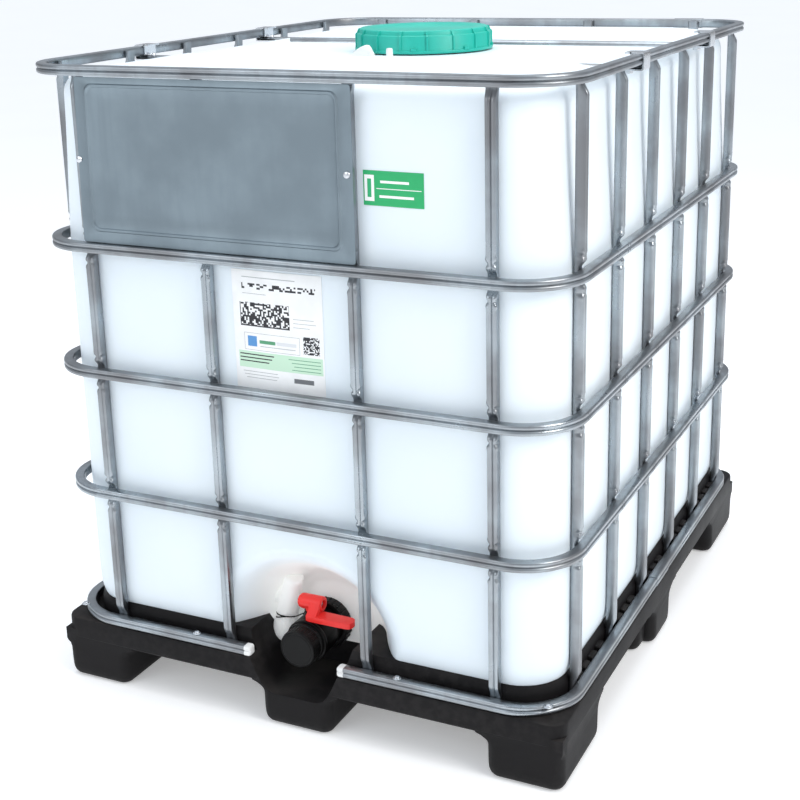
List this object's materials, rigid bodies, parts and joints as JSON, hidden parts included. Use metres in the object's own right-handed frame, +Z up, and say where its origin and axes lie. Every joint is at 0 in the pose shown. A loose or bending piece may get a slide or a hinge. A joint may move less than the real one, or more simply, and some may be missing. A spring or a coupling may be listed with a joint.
{
  "type": "intermediate bulk container",
  "caption": "Square plastic liquid container in a tubular steel cage on a plastic pallet, with a screw lid on top and a quarter-turn outlet valve with a dust cap at the front.",
  "frame": {"origin": "centre of the pallet's footprint, on the floor", "axes": "+Z up, +Y from the valve side to the back, +X to the right as seen from the valve side"},
  "size_m": [1.0054, 1.2, 1.184],
  "materials": {
    "cage_steel": "satin galvanised",
    "zinc_fittings": "zinc plated",
    "plate_steel": "satin rolled sheet",
    "bottle_plastic": "translucent natural polyethylene",
    "pallet_plastic": "matte recycled black",
    "lid_plastic": "satin",
    "seal_rubber": "matte",
    "white_plastic": "satin",
    "valve_plastic": "satin",
    "handle_plastic": "satin",
    "green_label": "printed film",
    "paper_label": "matte paper"
  },
  "bodies": {
    "container": {"pallet": "pallet_plastic", "bottle": "bottle_plastic", "bottle_column": "bottle_plastic", "lid_lock_lug": "white_plastic", "hoop_base": "cage_steel", "hoop_lower": "cage_steel", "hoop_middle": "cage_steel", "hoop_upper": "cage_steel", "hoop_top": "cage_steel", "hoop_end_left": "white_plastic", "hoop_end_right": "white_plastic", "hoop_screw_left_corner": "zinc_fittings", "hoop_screw_left": "zinc_fittings", "hoop_screw_right": "zinc_fittings", "hoop_screw_right_corner": "zinc_fittings", "post_front_1": "cage_steel", "post_front_2": "cage_steel", "post_front_3": "cage_steel", "post_front_4": "cage_steel", "post_back_1": "cage_steel", "post_back_2": "cage_steel", "post_back_3": "cage_steel", "post_back_4": "cage_steel", "post_left_1": "cage_steel", "post_left_2": "cage_steel", "post_left_3": "cage_steel", "post_left_4": "cage_steel", "post_left_5": "cage_steel", "post_left_6": "cage_steel", "post_right_1": "cage_steel", "post_right_2": "cage_steel", "post_right_3": "cage_steel", "post_right_4": "cage_steel", "post_right_5": "cage_steel", "post_right_6": "cage_steel", "cross_tube_front": "cage_steel", "cross_tube_rear": "cage_steel", "clamp_front_left": "zinc_fittings", "clamp_front_right": "zinc_fittings", "clamp_rear_left": "zinc_fittings", "clamp_rear_right": "zinc_fittings", "clamp_bolt_front_left": "zinc_fittings", "clamp_bolt_front_right": "zinc_fittings", "clamp_bolt_rear_left": "zinc_fittings", "clamp_bolt_rear_right": "zinc_fittings", "id_plate": "plate_steel", "plate_screw_left": "zinc_fittings", "plate_screw_right": "zinc_fittings", "label_green": "green_label", "label_paper": "paper_label", "union_nut": "valve_plastic", "valve_body": "valve_plastic", "neck_tie": "valve_plastic"},
    "lid_ring": {"lid_gasket": "seal_rubber"},
    "lid": {"lid": "lid_plastic"},
    "handle": {"valve_handle": "handle_plastic", "handle_screw": "zinc_fittings", "valve_disc": "white_plastic"},
    "cap_ring": {"cap_seal": "seal_rubber"},
    "cap": {"dust_cap": "valve_plastic"}
  },
  "joints": [
    {"name": "lid_lift", "type": "slide", "parent": "container", "child": "lid_ring", "axis": [0, 0, 1], "range_m": [0, 0.0241]},
    {"name": "lid_turn", "type": "hinge", "parent": "lid_ring", "child": "lid", "pos_m": [0, 0, 1.16], "axis": [0, 0, 1], "range_deg": [0, 1080]},
    {"name": "valve_turn", "type": "hinge", "parent": "container", "child": "handle", "pos_m": [0, -0.519, 0.21], "axis": [0, 0, -1], "range_deg": [0, 90]},
    {"name": "cap_out", "type": "slide", "parent": "container", "child": "cap_ring", "axis": [0, -1, 0], "range_m": [0, 0.0181]},
    {"name": "cap_turn", "type": "hinge", "parent": "cap_ring", "child": "cap", "pos_m": [0, -0.565, 0.1495], "axis": [0, -1, 0], "range_deg": [0, 1080]}
  ],
  "couplings": [
    {"joint": "lid_lift", "follows": "lid_turn", "m_per_rad": 0.0012732},
    {"joint": "cap_out", "follows": "cap_turn", "m_per_rad": 0.00095493}
  ]
}
